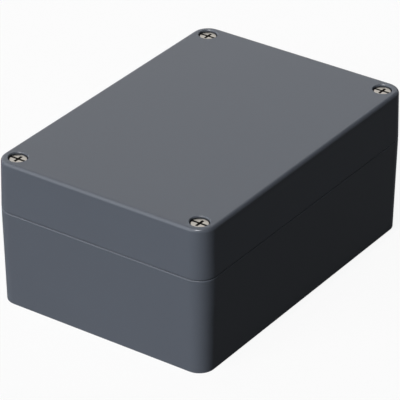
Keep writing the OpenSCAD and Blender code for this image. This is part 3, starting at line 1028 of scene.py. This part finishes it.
def washer_mesh(inside, outside, thickness, angles, closed, edge):
    """A flat stamped or wound piece. inside and outside give its radii at an angle, and edge
    is the rounding of its long edges. An open piece gets a face at each end."""
    bm = bmesh.new()
    rows = []
    for angle in angles:
        near = inside(angle) + edge
        far = outside(angle) - edge
        section = []
        for radius, height, start in (
                (far, edge, -90), (far, thickness - edge, 0),
                (near, thickness - edge, 90), (near, edge, 180)):
            section += rounded_corner((radius, height), edge, start, start + 90, steps=3)
        rows.append([
            bm.verts.new((r * math.cos(angle), r * math.sin(angle), z)) for r, z in section])
    for lower, upper in zip(rows, rows[1:]):
        bridge(bm, lower, upper)
    if closed:
        bridge(bm, rows[-1], rows[0])
    else:
        bm.faces.new(rows[0])
        bm.faces.new(reversed(rows[-1]))
    return bm


def turn_angles(start, end, steps):
    """Angles from start to end, in radians, both included."""
    return [start + (end - start) * i / steps for i in range(steps + 1)]


# ---------------------------------------------------------------- outlines of flat pieces

def clip_inside(angle):
    """Radius inside a clip. One prong at its back and one near each end grip the screw's
    groove, and between them it stands off."""
    sizes = bpy.context.scene.box_fittings
    # Half of the angle that a prong takes, and how soon it reaches its full height.
    back_prong = 0.35
    end_prong = 0.3
    steepness = 1.5
    from_back = abs(angle - math.pi)
    from_end_prong = abs(from_back - (math.pi - sizes.clip_mouth - end_prong))
    prong = max(
        0.0, 1 - (from_back / back_prong) ** 4, 1 - (from_end_prong / end_prong) ** 4)
    step_in = sizes.clip_relief - sizes.clip_grip
    return sizes.clip_relief - step_in * min(1.0, prong * steepness)


def clip_outside(angle):
    """Radius outside a clip, whose two ends are rounded."""
    # The angle that the rounding takes, and how far it draws the end in.
    rounded = 0.28
    drop = 0.9 * MM
    to_end = math.pi - bpy.context.scene.box_fittings.clip_mouth - abs(angle - math.pi)
    rounding = max(0.0, 1 - to_end / rounded)
    return CLIP.y / 2 - drop * (1 - math.sqrt(max(0.0, 1 - rounding ** 2)))


def round_at(radius):
    """The outline of a circle, as a function that gives its radius at an angle."""
    return lambda angle: radius


def plate_edge(angle):
    """Distance from the middle of a clamp plate to its outline, a square with round corners."""
    corner = bpy.context.scene.box_fittings.plate_corner
    half = PLATE.y / 2
    flat = half - corner
    c = abs(math.cos(angle))
    s = abs(math.sin(angle))
    straight = half / max(c, s)
    if straight * min(c, s) <= flat:
        return straight
    along = flat * (c + s)
    return along + math.sqrt(max(0.0, along ** 2 - 2 * flat ** 2 + corner ** 2))


# ---------------------------------------------------------------- castings and gasket

def give_material(node, material):
    """Gives a node of the frame one material and no other."""
    slots = frame["nodes"][node].data.materials
    slots.clear()
    slots.append(material)


def smooth_shading(node):
    """Shades a casting's rounded edges as smooth curves, without moving a point of it."""
    casting = frame["nodes"][node]
    weld = casting.modifiers.new("join seams", "WELD")
    weld.merge_threshold = 1e-7
    split = casting.modifiers.new("keep corners", "EDGE_SPLIT")
    split.split_angle = math.radians(28)
    split.use_edge_sharp = False
    even = casting.modifiers.new("even shading", "WEIGHTED_NORMAL")
    even.mode = "FACE_AREA"
    even.weight = 50


class BOX_OT_paint_castings(bpy.types.Operator):
    """Powder coats the outside of the base and the lid, and leaves their insides bare"""
    bl_idname = "box.paint_castings"
    bl_label = "Paint Castings"

    def execute(self, context):
        make_groups()
        seat = HEAD_TOP - context.scene.box_screws.head_height
        above_all = 2 * TOP_HEIGHT
        for node, closed_height, well_bottom in (
                ("base", 0.0, above_all), ("lid", TOP_HEIGHT, seat - SEAT_MARGIN)):
            give_material(node, casting_material(node, closed_height, well_bottom))
            smooth_shading(node)
        return {"FINISHED"}


class BOX_OT_finish_gasket(bpy.types.Operator):
    """Gives the gasket its rubber"""
    bl_idname = "box.finish_gasket"
    bl_label = "Finish Gasket"

    def execute(self, context):
        make_groups()
        give_material("lid_gasket", rubber_material())
        return {"FINISHED"}


# ---------------------------------------------------------------- screws and fittings

class BOX_OT_make_lid_screws(bpy.types.Operator):
    """Makes the four captive lid screws"""
    bl_idname = "box.make_lid_screws"
    bl_label = "Make Lid Screws"

    def execute(self, context):
        make_groups()
        clip_gap = 0.05 * MM
        for corner in CORNERS:
            node = f"lid_screw_{corner}"
            low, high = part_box(node)
            clip_low, clip_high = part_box(f"retaining_clip_{corner}")
            length = high.z - low.z
            bm = screw_mesh(
                length - context.scene.box_screws.head_height, length,
                (clip_low.z - clip_gap - low.z, clip_high.z + clip_gap - low.z))
            new_piece(
                f"captive_screw_{corner}", bm, nickel(length), f"screw_{corner}",
                node, (*middle(node), low.z))
        return {"FINISHED"}


class BOX_OT_make_clips(bpy.types.Operator):
    """Makes the clips that keep the screws in the lid"""
    bl_idname = "box.make_clips"
    bl_label = "Make Retaining Clips"

    def execute(self, context):
        make_groups()
        mouth = context.scene.box_fittings.clip_mouth
        for corner in CORNERS:
            x, y = middle(f"lid_screw_{corner}")
            bm = washer_mesh(
                clip_inside, clip_outside, CLIP.z,
                turn_angles(mouth, 2 * math.pi - mouth, steps=120), closed=False,
                edge=0.12 * MM)
            # A clip's mouth opens towards the nearer end of the box.
            if x < 0:
                bmesh.ops.rotate(bm, verts=bm.verts, matrix=Matrix.Rotation(math.pi, 3, "Z"))
            low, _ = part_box(f"retaining_clip_{corner}")
            new_piece(
                f"screw_clip_{corner}", bm, spring_steel(), f"clip_{corner}",
                f"retaining_clip_{corner}", (x, y, low.z))
        return {"FINISHED"}


# Play between a spring washer and what it lies between.
WASHER_PLAY = 0.02 * MM


def terminal(side):
    """Centre of an earth terminal as (x, y), the height of its boss's face, and whether it
    hangs from the lid."""
    hangs = side == "lid_"
    low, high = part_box(f"{side}earth_clamp_plate")
    return middle(f"{side}earth_clamp_plate"), high.z if hangs else low.z, hangs


class BOX_OT_make_terminal_screws(bpy.types.Operator):
    """Makes the screws of both earth terminals"""
    bl_idname = "box.make_terminal_screws"
    bl_label = "Make Terminal Screws"

    def execute(self, context):
        make_groups()
        length = EARTH_SCREW_LENGTH
        for side in TERMINALS:
            node = f"{side}earth_screw"
            centre, _, hangs = terminal(side)
            low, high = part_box(node)
            new_piece(
                f"{side}terminal_screw",
                screw_mesh(length - context.scene.box_screws.head_height, length),
                nickel(length), node, node,
                (*centre, high.z if hangs else low.z), hangs)
        return {"FINISHED"}


class BOX_OT_make_split_washers(bpy.types.Operator):
    """Makes the spring washers of both earth terminals"""
    bl_idname = "box.make_split_washers"
    bl_label = "Make Spring Washers"

    def execute(self, context):
        make_groups()
        sizes = context.scene.box_fittings
        gap = sizes.washer_split
        above_face = PLATE.z + WASHER_PLAY / 2
        for side in TERMINALS:
            centre, face, hangs = terminal(side)
            bm = washer_mesh(
                round_at(sizes.hole_radius), round_at(WASHER.y / 2), WASHER.z - WASHER_PLAY,
                turn_angles(gap, 2 * math.pi - gap, steps=96), closed=False, edge=0.15 * MM)
            rest = face - above_face if hangs else face + above_face
            new_piece(
                f"{side}split_washer", bm, spring_steel(), f"{side}earth_washers",
                f"{side}earth_spring_washer", (*centre, rest), hangs)
        return {"FINISHED"}


class BOX_OT_make_wire_plates(bpy.types.Operator):
    """Makes the clamp plates of both earth terminals"""
    bl_idname = "box.make_wire_plates"
    bl_label = "Make Clamp Plates"

    def execute(self, context):
        make_groups()
        hole = round_at(context.scene.box_fittings.hole_radius)
        for side in TERMINALS:
            centre, face, hangs = terminal(side)
            bm = washer_mesh(
                hole, plate_edge, PLATE.z - WASHER_PLAY / 2,
                turn_angles(0.0, 2 * math.pi, steps=160)[:-1], closed=True, edge=0.12 * MM)
            new_piece(
                f"{side}wire_plate", bm, zinc(), f"{side}earth_washers",
                f"{side}earth_clamp_plate", (*centre, face), hangs)
        return {"FINISHED"}


# ---------------------------------------------------------------- threads in the castings

def lid_screw_holes():
    """The holes in the base that the lid screws turn into, each as its ridges' name, body,
    centre, low end, high end, radius, pitch, and a height at which a ridge passes the X axis."""
    sizes = bpy.context.scene.box_screws
    for corner in CORNERS:
        node = f"lid_screw_{corner}"
        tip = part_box(node)[0].z
        yield (
            f"lid_screw_thread_{corner}", "base", middle(node), tip - LID_HOLE_RUN_OUT,
            JOINT_HEIGHT - LID_HOLE_START, sizes.shank_radius, sizes.pitch, tip)


def terminal_holes():
    """The holes that the earth screws turn into, given as the lid screws' holes are."""
    sizes = bpy.context.scene.box_screws
    start, end = TERMINAL_HOLE
    for side in TERMINALS:
        centre, face, hangs = terminal(side)
        low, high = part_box(f"{side}earth_screw")
        span = (face + start, face + end) if hangs else (face - end, face - start)
        yield (
            f"{side}terminal_thread", "lid" if hangs else "base", centre, *span,
            sizes.shank_radius, sizes.pitch, high.z if hangs else low.z)


def boss_holes():
    """The holes in the bosses on the floor, given as the lid screws' holes are."""
    dims = MOUNTS["board_bosses"]["dims"]
    top = MOUNTS["boss_faces"]["pos_m"][2]
    start, end = BOSS_HOLE
    for number, (x, y) in enumerate(SQUARE, 1):
        centre = (x * dims["spacing_x_mm"] * MM / 2, y * dims["spacing_y_mm"] * MM / 2)
        yield (
            f"boss_thread_{number}", "base", centre, top - end, top - start,
            dims["hole_r_mm"] * MM, bpy.context.scene.box_screws.boss_pitch, top)


class BOX_OT_cut_threads(bpy.types.Operator):
    """Makes the thread ridges in the tapped holes of the castings"""
    bl_idname = "box.cut_threads"
    bl_label = "Cut Threads"

    def execute(self, context):
        make_groups()
        sides = context.scene.box_screws.sides
        holes = [*lid_screw_holes(), *terminal_holes(), *boss_holes()]
        for name, body, (x, y), low, high, radius, pitch, crossing in holes:
            bm = ridge_mesh(high - low, radius, pitch, sides, (crossing - low) % pitch)
            new_piece(name, bm, tapped_metal(), body, None, (x, y, low))
        return {"FINISHED"}


# ---------------------------------------------------------------- studio

# Half the floor's width, and how far it lies under the box.
FLOOR_REACH = 12.0
FLOOR_GAP = 0.05 * MM
# Width of the camera's sensor in millimetres, and how far the camera sees.
SENSOR_WIDTH = 36.0
SIGHT = 100.0


def aim(azimuth, elevation):
    """Unit vector from the box towards an azimuth and elevation; azimuth 0 is along +X."""
    return Vector((
        math.cos(elevation) * math.cos(azimuth), math.cos(elevation) * math.sin(azimuth),
        math.sin(elevation)))


def list_lamps(studio):
    """Fills the studio's list of lamps, if it is still empty."""
    if studio.lamps:
        return
    for name, (azimuth, elevation, width, level, mirrored) in LAMPS.items():
        lamp = studio.lamps.add()
        lamp.name = name
        lamp.azimuth = math.radians(azimuth)
        lamp.elevation = math.radians(elevation)
        lamp.width = math.radians(width)
        lamp.level = level
        lamp.mirrored = mirrored


def add_lamp(lamp):
    """A far lamp with the settings given. A mirrored one shows in gloss alone, and the others
    light faces alone."""
    light = bpy.data.lights.new(lamp.name, "SUN")
    light.energy = math.pi * lamp.level
    light.angle = lamp.width
    made = bpy.data.objects.new(lamp.name, light)
    bpy.context.scene.collection.objects.link(made)
    direction = aim(lamp.azimuth, lamp.elevation)
    made.rotation_euler = direction.to_track_quat("Z", "Y").to_euler()
    made.visible_glossy = lamp.mirrored
    made.visible_diffuse = not lamp.mirrored


def seen_directly(rays):
    """1 where the eye looks at something itself, or through glass, and 0 where not."""
    tree = rays["Is Camera Ray"].id_data
    return maths(tree, "MAXIMUM", rays["Is Camera Ray"], rays["Is Transmission Ray"])


def set_world(studio):
    """White for the eye, a white side and a dim side in reflections, and low light."""
    world = bpy.data.worlds.new("Studio")
    bpy.context.scene.world = world
    tree = empty_tree(world)
    rays = add_node(tree, "ShaderNodeLightPath").outputs
    seen = seen_directly(rays)
    shown = maths(tree, "MAXIMUM", seen, rays["Is Glossy Ray"])
    toward = add_node(tree, "ShaderNodeTexCoord").outputs["Generated"]
    backdrop = aim(studio.backdrop_azimuth, studio.backdrop_elevation)
    likeness = vector_maths(tree, "DOT_PRODUCT", toward, backdrop)
    facing = ramp(tree, likeness, low=0.0, high=0.6)
    level = mix_values(tree, maths(tree, "MAXIMUM", seen, facing), studio.front_level, 1.0)
    light = add_node(tree, "ShaderNodeBackground", {
        "Color": rgba(studio.ambient_colour), "Strength": studio.ambient})
    white = add_node(
        tree, "ShaderNodeBackground", {"Color": rgba((1, 1, 1)), "Strength": level})
    blend_shaders(tree, shown, light, white, "ShaderNodeOutputWorld")


def floor_material(studio):
    """A floor that looks white, keeps part of the box's shadow and throws little light back."""
    made = bpy.data.materials.new("Studio floor")
    tree = empty_tree(made)
    rays = add_node(tree, "ShaderNodeLightPath").outputs
    seen = seen_directly(rays)
    tone = mix_colours(tree, seen, rgba([studio.floor_bounce] * 3), rgba((1, 1, 1)))
    lit = add_node(tree, "ShaderNodeBsdfDiffuse", {"Color": tone})
    white = add_node(tree, "ShaderNodeEmission", {"Color": rgba((1, 1, 1)), "Strength": 1.0})
    to_eye = maths(tree, "MULTIPLY", seen, 1 - studio.shadow_share)
    to_gloss = maths(tree, "MULTIPLY", rays["Is Glossy Ray"], studio.floor_gloss)
    blend_shaders(
        tree, maths(tree, "MAXIMUM", to_eye, to_gloss), lit, white, "ShaderNodeOutputMaterial")
    return made


def add_floor(studio):
    """A wide flat floor just under the box."""
    bm = bmesh.new()
    bm.faces.new([bm.verts.new((x * FLOOR_REACH, y * FLOOR_REACH, 0)) for x, y in SQUARE])
    mesh = bpy.data.meshes.new("studio_floor")
    bm.to_mesh(mesh)
    bm.free()
    mesh.materials.append(floor_material(studio))
    floor = bpy.data.objects.new("studio_floor", mesh)
    floor.location.z = -FLOOR_GAP
    bpy.context.scene.collection.objects.link(floor)


def add_camera(studio):
    """The camera, turned towards its target."""
    azimuth = studio.azimuth
    elevation = studio.elevation
    back = Vector((
        math.sin(azimuth) * math.cos(elevation), -math.cos(azimuth) * math.cos(elevation),
        math.sin(elevation)))
    right = Vector((math.cos(azimuth), math.sin(azimuth), 0))
    turned = Matrix((right, back.cross(right), back)).transposed()
    rolled = turned @ Matrix.Rotation(studio.roll, 3, "Z")
    place = Vector((0, 0, studio.target_height)) + back * studio.distance
    camera = bpy.data.objects.new("camera", bpy.data.cameras.new("camera"))
    bpy.context.scene.collection.objects.link(camera)
    camera.matrix_world = Matrix.Translation(place) @ rolled.to_4x4()
    camera.data.lens = studio.lens
    camera.data.sensor_width = SENSOR_WIDTH
    camera.data.shift_x = studio.shift[0]
    camera.data.shift_y = studio.shift[1]
    camera.data.clip_end = SIGHT
    bpy.context.scene.camera = camera


class BOX_OT_set_studio(bpy.types.Operator):
    """Sets the camera, the lamps, the white surroundings and the floor"""
    bl_idname = "box.set_studio"
    bl_label = "Set Studio"

    def execute(self, context):
        studio = context.scene.box_studio
        context.scene.view_settings.view_transform = "Standard"
        set_world(studio)
        add_floor(studio)
        list_lamps(studio)
        for lamp in studio.lamps:
            add_lamp(lamp)
        add_camera(studio)
        return {"FINISHED"}


# ---------------------------------------------------------------- panel and registration

OPERATORS = (
    BOX_OT_set_studio, BOX_OT_paint_castings, BOX_OT_finish_gasket, BOX_OT_make_lid_screws,
    BOX_OT_make_clips, BOX_OT_make_terminal_screws, BOX_OT_make_split_washers,
    BOX_OT_make_wire_plates, BOX_OT_cut_threads)
SETTINGS = {
    "box_paint": BoxPaint, "box_wear": BoxWearAndShade, "box_metal": BoxMetal,
    "box_screws": BoxScrews, "box_fittings": BoxFittings, "box_studio": BoxStudio}


class BOX_PT_panel(bpy.types.Panel):
    """Lists the steps that finish the box, and their settings"""
    bl_idname = "BOX_PT_panel"
    bl_label = "Die-Cast Box"
    bl_space_type = "VIEW_3D"
    bl_region_type = "UI"
    bl_category = "Box"

    def draw_settings(self, title, group, settings):
        """A box with a title and every setting of a group but its lists."""
        box = self.layout.box()
        box.label(text=title.replace("_", " ").title())
        for setting in group.__annotations__:
            if setting != "lamps":
                box.prop(settings, setting)

    def draw(self, context):
        for operator in OPERATORS:
            self.layout.operator(operator.bl_idname)
        for name, group in SETTINGS.items():
            self.draw_settings(name, group, getattr(context.scene, name))
        for lamp in context.scene.box_studio.lamps:
            self.draw_settings(lamp.name, BoxLamp, lamp)


def register():
    """Registers the classes and puts the settings on the scene."""
    bpy.utils.register_class(BoxLamp)
    for name, group in SETTINGS.items():
        bpy.utils.register_class(group)
        setattr(bpy.types.Scene, name, PointerProperty(type=group))
    for listed in (*OPERATORS, BOX_PT_panel):
        bpy.utils.register_class(listed)


def unregister():
    """Takes the classes and settings away again."""
    for listed in (BOX_PT_panel, *reversed(OPERATORS)):
        bpy.utils.unregister_class(listed)
    for name, group in SETTINGS.items():
        delattr(bpy.types.Scene, name)
        bpy.utils.unregister_class(group)
    bpy.utils.unregister_class(BoxLamp)


def main():
    """Runs every step in order."""
    register()
    for operator in OPERATORS:
        step = getattr(bpy.ops.box, operator.bl_idname.split(".")[1])
        if step() != {"FINISHED"}:
            raise RuntimeError(f"{operator.bl_label} did not finish")


if __name__ == "__main__":
    main()
